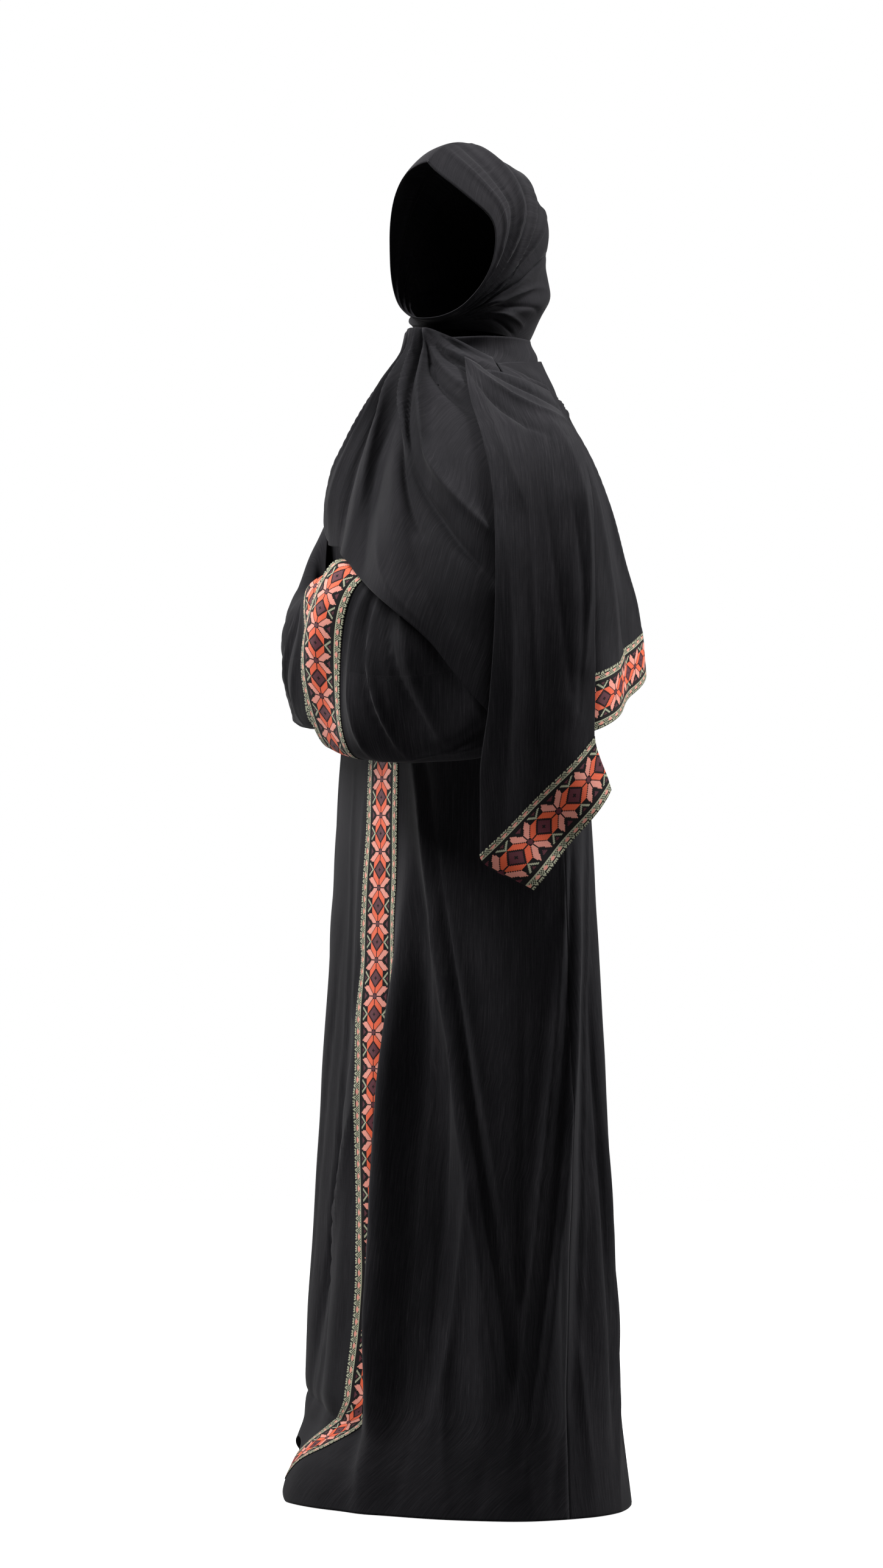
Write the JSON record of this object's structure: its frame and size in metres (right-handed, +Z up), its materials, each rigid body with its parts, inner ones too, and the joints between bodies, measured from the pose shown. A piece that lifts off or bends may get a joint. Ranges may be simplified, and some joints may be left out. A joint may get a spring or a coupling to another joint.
{
  "type": "prayer abaya",
  "caption": "Long loose prayer abaya with wide sleeves, a cross-stitched band at its centre front, cuffs and scarf end, and a wrapped head scarf; hollow, in its worn pose.",
  "frame": {"origin": "between the shoulders, at the height where the garment rests on the wearer", "axes": "+Z up, -Y the way the wearer faces, +X the wearer's left"},
  "size_m": [0.6172, 0.4149, 1.6521],
  "materials": {
    "black_crepe": "matte black crepe with fine slubs",
    "stitched_band": "cross-stitch in orange, salmon, maroon and sage on black"
  },
  "bodies": {
    "root": {"front_left": "black_crepe", "front_right": "black_crepe", "back": "black_crepe", "centre_front_band": "stitched_band", "sleeve_left": "black_crepe", "sleeve_right": "black_crepe", "cuff_band_left": "stitched_band", "cuff_band_right": "stitched_band", "scarf_hood": "black_crepe", "scarf_neck_wrap": "black_crepe", "scarf_chest_sheet": "black_crepe", "scarf_end_near": "black_crepe", "scarf_end_far": "black_crepe", "scarf_band_near": "stitched_band", "scarf_band_far": "stitched_band"}
  },
  "joints": []
}
